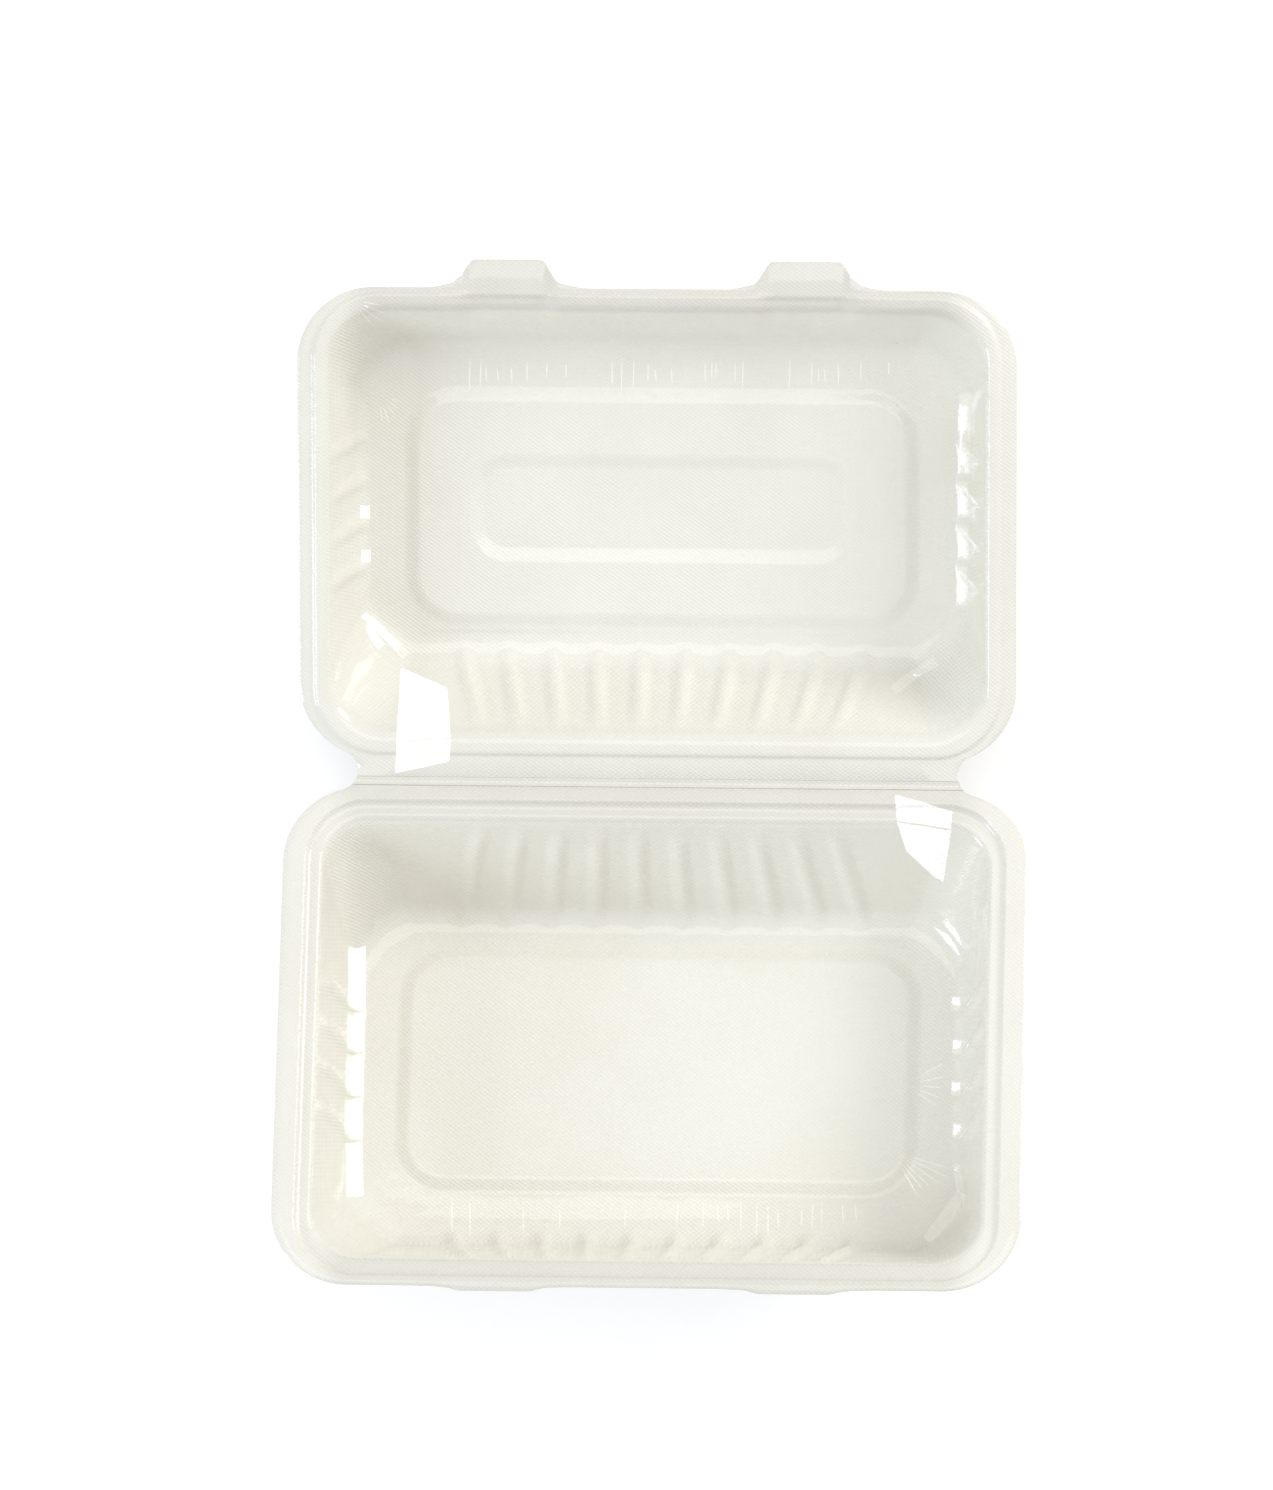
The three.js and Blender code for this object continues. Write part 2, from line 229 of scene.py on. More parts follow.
def tray_levels():
    """The outline, and the levels from the flange over the ledge and the wall to the floor's field."""
    outline = level(*TRAY_OUTLINE, OUTLINE_CORNER, 0, tab_out=TRAY_TAB_OUT)
    flange = inset(outline, *TRAY_FLANGE, tab_out=0)
    ledge = inset(flange, *STEP, z=LEDGE_HEIGHT)
    top = inset(ledge, *LEDGE)
    rim = [inset(flange, *TRAY_FLANGE_MIDDLE), inset(flange, *TRAY_FLANGE_INSIDE), flange, ledge, top]
    wall = wall_levels(top, floor_level(*TRAY_FLOOR))
    field = relief_levels(*TRAY_FIELD, FIELD_CORNER, wall[-1]["z"], FIELD_RISE)
    return outline, rounded(rim, 2)[:-1] + wall + rounded([wall[-1]] + field, 1)[1:]


def lid_levels():
    """The outline, and the levels from the flange over the bead and the wall to the recess."""
    outline = level(*LID_OUTLINE, OUTLINE_CORNER, 0, tab_out=LID_TAB_OUT, tab_drop=TAB_DROPS[0])
    flange = inset(outline, *LID_FLANGE, tab_out=0)
    bead = inset(flange, *STEP, z=BEAD_HEIGHT, tab_drop=TAB_DROPS[1])
    top = inset(bead, *BEAD, z=LID_TOP_HEIGHT, tab_drop=TAB_DROPS[2])
    rim = [inset(flange, *LID_FLANGE_MIDDLE), flange, bead, top]
    wall = wall_levels(top, floor_level(*LID_FLOOR))
    field = relief_levels(*LID_FIELD, FIELD_CORNER, wall[-1]["z"], FIELD_RISE)
    recess = relief_levels(*LID_RECESS, RECESS_CORNER, wall[-1]["z"] + FIELD_RISE, RECESS_RISE)
    return outline, rounded(rim, 2)[:-1] + wall + rounded([wall[-1]] + field + recess, 1)[1:]


# Loops: the points round a half at one level

def tab_weight(x):
    """1 over a tab's end, falling over its steep sides and then its flare to 0."""
    beyond = np.abs(np.abs(x) - TAB_SPACING / 2) - TAB_TIP / 2
    steep = 1 - smooth(beyond / TAB_SIDE)
    flare = 1 - smooth(beyond / TAB_FLARE)
    return lerp(steep, flare, TAB_FLARE_SHARE)


def side_points(run, ribs, pitch):
    """Places along a side from -run to run, dense over the ribs, and each rib's share there."""
    steps = np.linspace(-ribs / 2, ribs / 2, ribs * RIB_SAMPLES + 1)
    pitch = min(pitch, 2 * run / (ribs + RIB_MARGIN))
    zone = steps * pitch
    ends = np.linspace(0, 1, END_SAMPLES, endpoint=False)
    left = lerp(-run, zone[0], ends)
    nearest = np.clip(np.round(steps + (ribs - 1) / 2), 0, ribs - 1)
    away = np.abs(steps + (ribs - 1) / 2 - nearest) / RIB_HALF
    stand = np.cos(np.clip(away, 0, 1) * math.pi / 2) ** 2
    quiet = np.zeros(END_SAMPLES)
    return np.concatenate([left, zone, -left[::-1]]), np.concatenate([quiet, stand, quiet])


RIM_DEPTH = 3.0             # how far down the rim's painted shade reaches
SIDE_SHADE = (24.0, 12.0)   # how far from the sides it changes, and over what length
FOLD_SHADE = (12.0, 10.0)   # the same by the fold


class Half:
    """One half of the box: how its ribs, notches and corners are laid out.

    Each side has its number of ribs and their share of the full depth. The rim has painted shade, darker
    than the rest, less so at the sides and along the fold, by the share given for each.
    """

    def __init__(self, name, levels, side_ribs, notch_at, side_light, fold_shade_cut):
        self.name = name
        self.outline, self.levels = levels
        self.side_ribs = side_ribs
        self.notch_at = notch_at
        self.side_light, self.fold_shade_cut = side_light, fold_shade_cut
        corner = self.outline["corner"]
        self.across = NECK_WIDTH / 2 - (self.outline["width"] / 2 - corner)
        self.away = self.outline["near"] + corner - notch_at
        square = self.across ** 2 + self.away ** 2 - corner ** 2
        self.notch_radius = square / (2 * (corner - self.across))
        touch = math.atan2(self.across + self.notch_radius, self.away)
        notched = np.linspace(0, touch, NOTCH_COLUMNS + 1)[1:]
        rest = np.linspace(touch, math.pi / 2, CORNER_COLUMNS - NOTCH_COLUMNS + 2)[1:-1]
        first = np.concatenate([notched, rest])
        even = np.linspace(0, math.pi / 2, CORNER_COLUMNS + 2)[1:-1]
        self.angles = [first, even, even, (math.pi / 2 - first)[::-1]]
        self.touch = touch

    def loop(self, at_level):
        """A level's closed loop as rows of x, v, z: each side, and then the corner after it."""
        f = at_level
        half, corner = f["width"] / 2, f["corner"]
        middle, reach = (f["near"] + f["far"]) / 2, (f["far"] - f["near"]) / 2
        frames = [((0, f["near"]), (1, 0), half - corner), ((half, middle), (0, 1), reach - corner),
                  ((0, f["far"]), (-1, 0), half - corner), ((-half, middle), (0, -1), reach - corner)]
        points = []
        for index, (at, ahead, run) in enumerate(frames):
            ribs, height = self.side_ribs[index]
            pitch = f["pitch"] if index % 2 == 0 else SIDE_RIB_PITCH
            along, stand = side_points(run, ribs, pitch)
            inward = stand * f["rib"] * height
            z = np.full(len(along), f["z"])
            if index == 2:
                weight = tab_weight(along)
                inward = inward - weight * f["tab_out"]
                z = z - weight * f["tab_drop"]
            angle = self.angles[index]
            share = angle / (math.pi / 2)
            arc_along = run + corner * lerp(np.sin(angle), share, f["cut"])
            arc_inward = corner * lerp(1 - np.cos(angle), share, f["cut"])
            along = np.concatenate([along, arc_along])
            inward = np.concatenate([inward, arc_inward])
            z = np.concatenate([z, np.full(len(angle), f["z"])])
            x = at[0] + ahead[0] * along - ahead[1] * inward
            v = at[1] + ahead[1] * along + ahead[0] * inward
            points.append(np.stack([x, v, z], 1))
        return np.concatenate(points)

    def outer_edge(self):
        """The outline, drawn out to the fold between two round notches."""
        points = self.loop(self.outline)
        radius, notch_at = self.notch_radius, self.notch_at
        at_fold = math.pi + math.asin((notch_at - STRIP) / radius)
        at_corner = math.atan2(self.away, -(self.across + radius))
        edge = NECK_WIDTH / 2 + radius * (1 + math.cos(at_fold))
        straight = self.side_ribs[0][0] * RIB_SAMPLES + 1 + 2 * END_SAMPLES
        run = self.outline["width"] / 2 - self.outline["corner"]
        points[:straight, 0] *= edge / run
        points[:straight, 1] = STRIP
        angle = lerp(at_fold, at_corner, self.angles[0][:NOTCH_COLUMNS] / self.touch)
        x = NECK_WIDTH / 2 + radius * (1 + np.cos(angle))
        v = notch_at + radius * np.sin(angle)
        points[straight:straight + NOTCH_COLUMNS, 0] = x
        points[straight:straight + NOTCH_COLUMNS, 1] = v
        points[-NOTCH_COLUMNS:, 0] = -x[::-1]
        points[-NOTCH_COLUMNS:, 1] = v[::-1]
        return points

    def grid(self):
        """All the loops from the outer edge to the middle, the last one drawn in to a point."""
        loops = [self.loop(at_level) for at_level in self.levels]
        warps = [at_level["warp"] for at_level in self.levels]
        edge = self.outer_edge()
        inside = loops[0]
        gap = np.linalg.norm(inside - edge, axis=1, keepdims=True)
        bevel = lerp(edge, inside, EDGE_BEVEL / gap)
        edge[:, 2] -= EDGE_DROP
        middle = loops[-1].mean(0)
        inner = [lerp(middle, loops[-1], share) for share in INNER_SHARES]
        stack = np.stack([edge, bevel] + loops + inner)
        warp = np.array([0.0, 0.0] + warps + [1.0] * len(inner))
        stack[..., 2] += warp[:, None] * warp_height(stack[..., 0], stack[..., 1])
        # Painted shade: the rim's colour is darkened, less at the sides and by the fold
        on_rim = [1.0 if at_level["z"] > -RIM_DEPTH else 0.0 for at_level in self.levels]
        rim = np.array([1.0, 1.0] + on_rim + [0.0] * len(inner))
        from_side = self.outline["width"] / 2 - np.abs(stack[..., 0])
        from_fold = stack[..., 1] - self.outline["near"]
        side = smooth((SIDE_SHADE[0] - from_side) / SIDE_SHADE[1])
        fold = 1 - smooth((from_fold - FOLD_SHADE[0]) / FOLD_SHADE[1])
        self.shade = rim[:, None] * (1 - side * self.side_light) * (1 - fold * self.fold_shade_cut)
        return stack


def warp_height(x, v):
    """How far the dried sheet stands up: slow waves, with quicker ones over them."""
    slow = np.sin(x / 31 + 0.7) * np.cos(v / 23 + 0.4)
    quick = np.sin(x / 13 + 2.1) * np.sin(v / 15 + 1.2)
    return WARP * (1 + slow + 0.5 * quick)


# Placing a half, and making meshes

def turn_x(points, degrees):
    a = math.radians(degrees)
    y, z = points[..., 1], points[..., 2]
    out = points.copy()
    out[..., 1] = y * math.cos(a) - z * math.sin(a)
    out[..., 2] = y * math.sin(a) + z * math.cos(a)
    return out


def lean(half):
    """Degrees that a half is turned about the fold from lying flat."""
    return OPEN_LIFT - REST_TILT if half == "lid" else -REST_TILT


def place(points, half):
    """From a half's flat frame in mm to the row frame in metres."""
    out = np.array(points, dtype=float)
    if half == "tray":
        out[..., :2] *= -1
    out[..., 2] -= AXIS_LIFT
    return (turn_x(out, lean(half)) + FOLD) * MM


def unplace(points, half):
    """From the row frame in metres back to a half's flat frame in mm."""
    out = turn_x(np.asarray(points, dtype=float) / MM - FOLD, -lean(half))
    out[..., 2] += AXIS_LIFT
    if half == "tray":
        out[..., :2] *= -1
    return out


def unturn(direction, half):
    """A direction of the row frame, in a half's flat frame."""
    out = turn_x(np.asarray(direction, dtype=float), -lean(half))
    if half == "tray":
        out[..., :2] *= -1
    return out


def new_object(name, points, faces, smooth_shade=True):
    mesh = bpy.data.meshes.new(name)
    mesh.from_pydata(np.asarray(points).tolist(), [], [tuple(face) for face in faces])
    mesh.validate()
    mesh.polygons.foreach_set("use_smooth", [smooth_shade] * len(mesh.polygons))
    made = bpy.data.objects.new(name, mesh)
    bpy.context.scene.collection.objects.link(made)
    return made


def grid_faces(rows, columns, closed):
    faces = []
    for i in range(rows - 1):
        for j in range(columns if closed else columns - 1):
            a = i * columns + j
            b = i * columns + (j + 1) % columns
            faces.append((a, b, b + columns, a + columns))
    return faces


def vertex_normals(points, faces):
    """The surface's direction at each point, weighted by the faces' areas."""
    quads = np.array([face if len(face) == 4 else face + face[-1:] for face in faces])
    one = points[quads[:, 2]] - points[quads[:, 0]]
    two = points[quads[:, 3]] - points[quads[:, 1]]
    across = np.cross(one, two)
    normals = np.zeros_like(points)
    for k in range(4):
        np.add.at(normals, quads[:, k], across)
    return normals / np.linalg.norm(normals, axis=1, keepdims=True)


# Painted shade for the rim: a value at each point by which the fibre's colour is darkened
def set_painted_shade(piece, values):
    painted_rim_shade = piece.data.attributes.new("painted_rim_shade", "FLOAT", "POINT")
    painted_rim_shade.data.foreach_set("value", values)


def shell_object(half):
    """A half's shell: the lined inside, the fibre outside and the cut edge between them."""
    stack = half.grid()
    rows, columns = stack.shape[:2]
    inner_rows = rows - 1
    top = np.concatenate([stack[:-1].reshape(-1, 3), stack[-1:, 0]])
    centre = len(top) - 1
    faces = grid_faces(inner_rows, columns, True)
    last = (inner_rows - 1) * columns
    faces += [(last + j, last + (j + 1) % columns, centre) for j in range(columns)]
    below = top - vertex_normals(top, faces) * SHEET
    count = len(top)
    under = [tuple(count + k for k in reversed(face)) for face in faces]
    rim = [(j, count + j, count + (j + 1) % columns, (j + 1) % columns) for j in range(columns)]
    points = place(np.concatenate([top, below]), half.name)
    shell = new_object(half.name + "_shell", points, faces + under + rim)
    slots = [0] * len(faces) + [1] * (len(under) + len(rim))
    shell.data.polygons.foreach_set("material_index", slots)
    shell.data.set_sharp_from_angle(angle=math.radians(SHELL_SHARP))
    # painted shade on the rim, the same on both sides of the sheet
    shade = np.concatenate([half.shade[:-1].ravel(), half.shade[-1:, 0]])
    set_painted_shade(shell, np.concatenate([shade, shade]))
    half.surface = BVHTree.FromPolygons(top.tolist(), faces)
    return shell


# Materials

def nodes_of(material):
    """The emptied node tree's nodes and links."""
    material.use_nodes = True
    tree = material.node_tree
    tree.nodes.clear()
    return tree.nodes, tree.links


def add(nodes, kind, **settings):
    """A new node with its settings. Those that start with in_ are values of its sockets."""
    node = nodes.new(kind)
    for key, value in settings.items():
        if key.startswith("in_"):
            node.inputs[key[3:].replace("_", " ")].default_value = value
        else:
            setattr(node, key, value)
    return node


def math_node(nodes, links, operation, one, two=0.0):
    node = nodes.new("ShaderNodeMath")
    node.operation = operation
    for socket, value in zip(node.inputs, (one, two)):
        if isinstance(value, (int, float)):
            socket.default_value = value
        else:
            links.new(value, socket)
    return node.outputs[0]


def seen_by_camera(nodes, links):
    """1 for rays that come from the camera, straight or by a reflection or through film, 0 for others."""
    path = nodes.new("ShaderNodeLightPath")
    camera_ray, film_ray = path.outputs["Is Camera Ray"], path.outputs["Is Transmission Ray"]
    seen = math_node(nodes, links, "MAXIMUM", camera_ray, film_ray)
    return math_node(nodes, links, "MAXIMUM", seen, path.outputs["Is Glossy Ray"])


FIBRE_COLOUR = (0.855, 0.84, 0.768, 1)
FIBRE_SHADE = (0.83, 0.81, 0.73, 1)
SPECK_COLOUR = (0.55, 0.48, 0.36, 1)
RIM_PAINTED_SHADE = (0.87, 0.865, 0.86, 1)       # painted shade: the rim's colour is darkened along the fold and the ends
MESH_WAVES = ((580.0, 787.0), (-580.0, 787.0))     # the wire mesh's two sets of lines, in waves a metre
MESH_DEPTH = 0.00008
MARK_TONE = 0.16            # how much the mesh mark shows in the colour
SPECK_LIMIT = 0.982         # the share of possible specks that are left out


def mesh_mark(nodes, links, coords):
    """Height of the wire mesh that the fibre was pressed on: two crossing sets of fine ridges."""
    waves = []
    for across, along in MESH_WAVES:
        facing = add(nodes, "ShaderNodeVectorMath", operation="DOT_PRODUCT")
        facing.inputs[1].default_value = (2 * math.pi * across, 2 * math.pi * along, 0)
        links.new(coords, facing.inputs[0])
        waves.append(math_node(nodes, links, "SINE", facing.outputs["Value"]))
    return math_node(nodes, links, "ADD", waves[0], waves[1])


def fibre_colour(nodes, links, coords, mark):
    """Cloudy off-white with the mesh mark and a few faint specks in it, and painted shade that darkens the
    rim.
    """
    cloud = add(nodes, "ShaderNodeTexNoise", in_Scale=26.0, in_Detail=4.0, in_Roughness=0.6)
    links.new(coords, cloud.inputs["Vector"])
    share = add(nodes, "ShaderNodeMapRange", in_From_Min=0.35, in_From_Max=0.62)
    links.new(cloud.outputs["Fac"], share.inputs["Value"])
    with_mark = math_node(nodes, links, "MULTIPLY_ADD", mark, MARK_TONE)
    links.new(share.outputs["Result"], with_mark.node.inputs[2])
    tone = add(nodes, "ShaderNodeMix", data_type="RGBA")
    tone.inputs["A"].default_value = FIBRE_SHADE
    tone.inputs["B"].default_value = FIBRE_COLOUR
    links.new(with_mark, tone.inputs["Factor"])

    speck = add(nodes, "ShaderNodeTexVoronoi", in_Scale=150.0)
    links.new(coords, speck.inputs["Vector"])
    near = add(nodes, "ShaderNodeMapRange", in_From_Min=0.03, in_From_Max=0.09,
               in_To_Min=1.0, in_To_Max=0.0)
    links.new(speck.outputs["Distance"], near.inputs["Value"])
    pick = add(nodes, "ShaderNodeSeparateColor")
    links.new(speck.outputs["Color"], pick.inputs["Color"])
    rare = math_node(nodes, links, "GREATER_THAN", pick.outputs[0], SPECK_LIMIT)
    spot = math_node(nodes, links, "MULTIPLY", near.outputs["Result"], rare)
    faint = math_node(nodes, links, "MULTIPLY", spot, pick.outputs[1])
    spotted = add(nodes, "ShaderNodeMix", data_type="RGBA")
    spotted.inputs["B"].default_value = SPECK_COLOUR
    links.new(tone.outputs["Result"], spotted.inputs["A"])
    links.new(faint, spotted.inputs["Factor"])
    # Painted shade: the rim's colour is darkened by the value that the shells give each point
    rim = add(nodes, "ShaderNodeAttribute", attribute_name="painted_rim_shade")
    shaded_rim_colour = add(nodes, "ShaderNodeMix", data_type="RGBA", blend_type="MULTIPLY")
    shaded_rim_colour.inputs["B"].default_value = RIM_PAINTED_SHADE
    links.new(spotted.outputs["Result"], shaded_rim_colour.inputs["A"])
    links.new(rim.outputs["Fac"], shaded_rim_colour.inputs["Factor"])
    return shaded_rim_colour.outputs["Result"]


def fibre_material(name, film):
    """Pressed fibre with a fine wire-mesh mark; the inside has a clear film over it."""
    material = bpy.data.materials.new(name)
    nodes, links = nodes_of(material)
    coords = add(nodes, "ShaderNodeTexCoord").outputs["Object"]
    mark = mesh_mark(nodes, links, coords)
    grain = add(nodes, "ShaderNodeTexNoise", in_Scale=1100.0, in_Detail=2.0)
    links.new(coords, grain.inputs["Vector"])
    height = math_node(nodes, links, "ADD", mark, grain.outputs["Fac"])
    bump = add(nodes, "ShaderNodeBump", in_Strength=0.5 if film else 0.8, in_Distance=MESH_DEPTH)
    links.new(height, bump.inputs["Height"])
    shader = add(nodes, "ShaderNodeBsdfPrincipled", in_Roughness=0.6 if film else 0.8)
    links.new(fibre_colour(nodes, links, coords, mark), shader.inputs["Base Color"])
    links.new(bump.outputs["Normal"], shader.inputs["Normal"])
    if film:
        shader.inputs["Specular IOR Level"].default_value = 0.2
        shader.inputs["Coat Weight"].default_value = 1.0
        shader.inputs["Coat Roughness"].default_value = 0.07
        shader.inputs["Coat IOR"].default_value = 1.5
        ripple = add(nodes, "ShaderNodeTexNoise", in_Scale=55.0, in_Detail=2.5)
        links.new(coords, ripple.inputs["Vector"])
        film_bump = add(nodes, "ShaderNodeBump", in_Strength=0.35, in_Distance=0.0009)
        links.new(ripple.outputs["Fac"], film_bump.inputs["Height"])
        links.new(film_bump.outputs["Normal"], shader.inputs["Coat Normal"])
    out = add(nodes, "ShaderNodeOutputMaterial")
    links.new(shader.outputs["BSDF"], out.inputs["Surface"])
    return material


def film_material(name, gloss_share):
    """Clear film that stands off the fibre: its reflections are added to what lies behind it."""
    material = bpy.data.materials.new(name)
    nodes, links = nodes_of(material)
    coords = add(nodes, "ShaderNodeTexCoord").outputs["Object"]
    ripple = add(nodes, "ShaderNodeTexNoise", in_Scale=90.0, in_Detail=2.0)
    links.new(coords, ripple.inputs["Vector"])
    bump = add(nodes, "ShaderNodeBump", in_Strength=0.2, in_Distance=0.0005)
    links.new(ripple.outputs["Fac"], bump.inputs["Height"])
    clear = nodes.new("ShaderNodeBsdfTransparent")
    gloss = add(nodes, "ShaderNodeBsdfGlossy", in_Roughness=0.06, in_Color=(gloss_share,) * 3 + (1,))
    links.new(bump.outputs["Normal"], gloss.inputs["Normal"])
    both = nodes.new("ShaderNodeAddShader")
    links.new(clear.outputs[0], both.inputs[0])
    links.new(gloss.outputs[0], both.inputs[1])
    out = add(nodes, "ShaderNodeOutputMaterial")
    links.new(both.outputs[0], out.inputs["Surface"])
    return material


# The two shells

# Each side's number of ribs and their share of the full depth, from the fold's side on
TRAY_RIBS = [(10, 1.0), (4, 0.75), (10, 1.0), (4, 0.75)]
LID_RIBS = [(10, 1.0), (4, 0.75), (10, 0.0), (4, 0.75)]
lined = fibre_material("lined_fibre", film=True)
bare = fibre_material("bare_fibre", film=False)

tray = Half("tray", tray_levels(), TRAY_RIBS, -NOTCH_PLACE, side_light=1.0, fold_shade_cut=0.0)
lid = Half("lid", lid_levels(), LID_RIBS, NOTCH_PLACE, side_light=1.0, fold_shade_cut=0.8)
for half, node, slot in ((tray, "base_tray", "tray_fibre"), (lid, "lid", "lid_fibre")):
    shell = shell_object(half)
    shell.data.materials.append(lined)
    shell.data.materials.append(bare)
    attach(shell, half.name)
    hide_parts(node)


# The strip of sheet along the fold, bent between the two halves

def fold_strip():
    """A closed band of sheet across the fold, with its middle pressed down and its ends in the notches."""
    radius = tray.notch_radius
    places = np.linspace(-STRIP, STRIP, STRIP_ROWS)
    columns = STRIP_COLUMNS
    rows, shades = [], []
    for side in (0, SHEET):
        for at in places if side == 0 else places[::-1]:
            half = "lid" if at > 0 else "tray"
            end = NECK_WIDTH / 2 + radius - math.sqrt(radius ** 2 - (at - NOTCH_PLACE) ** 2)
            x = np.linspace(-end, end, columns)
            dip = STRIP_DIP * math.cos(math.pi / 2 * at / STRIP) ** 2
            flat = np.stack([x, np.full(columns, abs(at)), np.full(columns, -dip - side)], 1)
            if half == "tray":
                flat[:, 0] *= -1
            rows.append(place(flat, half))
            # painted shade along the strip, from the tray's rim to the lid's
            shades += [lerp(1 - tray.fold_shade_cut, 1 - lid.fold_shade_cut, (at + STRIP) / (2 * STRIP))] * columns
    faces = grid_faces(len(rows), columns, False)
    last = (len(rows) - 1) * columns
    faces += [(last + j, last + j + 1, j + 1, j) for j in range(columns - 1)]
    one_end = tuple(k * columns for k in range(len(rows)))
    other_end = tuple(k * columns + columns - 1 for k in range(len(rows)))
    strip = new_object("fold_strip", np.concatenate(rows), faces + [one_end[::-1], other_end])
    strip.data.materials.append(lined)
    strip.data.set_sharp_from_angle(angle=math.radians(STRIP_SHARP))
    set_painted_shade(strip, shades)
    return strip


strip = fold_strip()
across_fold = [place(np.array([0.0, STRIP, 0.0]), name) for name in ("tray", "lid")]
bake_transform(strip)


# Camera

def camera_matrix():
    tilt = Matrix.Rotation(math.radians(VIEW_TILT), 4, "X")
    yaw = Matrix.Rotation(math.radians(VIEW_YAW), 4, "Y")
    roll = Matrix.Rotation(math.radians(VIEW_ROLL), 4, "Z")
    to_view = roll @ yaw @ tilt
    at = Vector((-VIEW_OFFSET[0], VIEW_OFFSET[1], VIEW_DISTANCE)) * MM
    return Matrix.Translation(Vector(FOLD) * MM) @ to_view.inverted() @ Matrix.Translation(at)


scene = bpy.context.scene
camera_data = bpy.data.cameras.new("camera")
camera_data.sensor_width = SENSOR
camera_data.lens = SENSOR * PIXELS_PER_MM * VIEW_DISTANCE / IMAGE[1]
camera_data.clip_end = 50
camera = bpy.data.objects.new("camera", camera_data)
camera.matrix_world = camera_matrix()
scene.collection.objects.link(camera)
scene.camera = camera


def on_shell(half, pixel):
    """The point of a half's lined inside that the photograph shows at a pixel, in its flat frame."""
    across = (pixel[0] - IMAGE[0] / 2) / PIXELS_PER_MM
    up = (IMAGE[1] / 2 - pixel[1]) / PIXELS_PER_MM
    away = Vector((across, up, -VIEW_DISTANCE)) * MM
    eye = unplace(np.array(camera.matrix_world.translation), half.name)
    seen = unplace(np.array(camera.matrix_world @ away), half.name)
    hit = half.surface.ray_cast(Vector(eye), Vector(seen - eye))[0]
    return np.array(hit) if hit else None


def height_at(half, x, v):
    """Height of a half's lined inside at a place in its flat frame."""
    hit = half.surface.ray_cast(Vector((x, v, ABOVE_SHELL)), Vector((0, 0, -1)))[0]
    return hit[2] if hit else 0.0


# Light

TOWARDS_VIEW = np.array(camera.matrix_world.translation.normalized())
SUNSIDE = np.array([0.73, 0.52, 0.44])      # the warmer lamp, to the upper right
WINDOW = np.array([-0.75, -0.24, 0.49])     # the cooler lamp, to the left
KEY = np.array([0.04, 0.32, 0.94])          # the soft one overhead
LAMP_DISTANCE = 1.8


def area_light(name, towards, size, power, colour=(1, 1, 1)):
    """A rectangular lamp that faces the box from a direction."""
    data = bpy.data.lights.new(name, "AREA")
    data.shape = "RECTANGLE"
    data.size, data.size_y = size
    data.energy = power
    data.color = colour
    lamp = bpy.data.objects.new(name, data)
    at = Vector(towards).normalized() * LAMP_DISTANCE
    lamp.matrix_world = Matrix.Translation(at) @ at.to_track_quat("Z", "Y").to_matrix().to_4x4()
    scene.collection.objects.link(lamp)


area_light("key", KEY, (1.8, 0.8), 6.5)
area_light("sunside", SUNSIDE, (0.5, 0.8), 13.2, (1.0, 0.985, 0.95))
area_light("window", WINDOW, (0.5, 0.8), 10.3, (0.80, 0.90, 1.0))

# The world is white where the camera sees it, and gives a softer light
world = bpy.data.worlds.new("world")
scene.world = world
nodes, links = nodes_of(world)
soft = add(nodes, "ShaderNodeBackground", in_Color=(0.98, 0.985, 1.0, 1), in_Strength=0.60)
white = add(nodes, "ShaderNodeBackground", in_Color=(1, 1, 1, 1), in_Strength=1.0)
mix = nodes.new("ShaderNodeMixShader")
world_out = nodes.new("ShaderNodeOutputWorld")
links.new(seen_by_camera(nodes, links), mix.inputs["Fac"])
links.new(soft.outputs[0], mix.inputs[1])
links.new(white.outputs[0], mix.inputs[2])
links.new(mix.outputs[0], world_out.inputs["Surface"])

# The floor: matte, with a little light of its own where the camera sees it, so that it stays white
FLOOR_REACH = 6.0
corners = [(x * FLOOR_REACH, y * FLOOR_REACH, 0) for x, y in ((-1, -1), (1, -1), (1, 1), (-1, 1))]
table = new_object("floor", corners, [(0, 1, 2, 3)], False)
table_material = bpy.data.materials.new("floor")
nodes, links = nodes_of(table_material)
matte = add(nodes, "ShaderNodeBsdfDiffuse", in_Color=(0.8, 0.8, 0.8, 1))
lift = add(nodes, "ShaderNodeEmission", in_Color=(1, 1, 1, 1), in_Strength=0.4)
both = nodes.new("ShaderNodeAddShader")
mix = nodes.new("ShaderNodeMixShader")
out = nodes.new("ShaderNodeOutputMaterial")
links.new(matte.outputs[0], both.inputs[0])
links.new(lift.outputs[0], both.inputs[1])
links.new(seen_by_camera(nodes, links), mix.inputs["Fac"])
links.new(matte.outputs[0], mix.inputs[1])
links.new(both.outputs[0], mix.inputs[2])
links.new(mix.outputs[0], out.inputs["Surface"])
table.data.materials.append(table_material)


# Film that stands off the fibre in the corners, and its creases

FILM_GAP = 0.12             # between the film and the fibre where it hardly stands off
FILM_LIFT = 2.5             # how far a facet may stand off the foot of a wall
FILM_REST = 58              # percentage of a facet's field that stands clear of the fibre
FILM_EDGE = 0.1             # share of a facet over which its edges come down to the fibre
SHUT_CLEARANCE = 1.2        # the closed halves leave a facet this far below the flange's top
CORNER_PLEAT, RIM_PLEAT, WALL_PLEAT = 0.9, 0.26, 0.5
CORNER_COUNT, RIM_COUNT = 130, 110
FILM_GLOSS, CREASE_GLOSS = 0.07, 0.16
CREASE_WIDTH, CREASE_HEIGHT, FAN_HEIGHT = 0.34, 0.16, 0.18
CREASE_FOOT = 0.02          # a crease's edges lie this far over the fibre

film = film_material("clear_film", FILM_GLOSS)
crease_film = film_material("creased_film", CREASE_GLOSS)


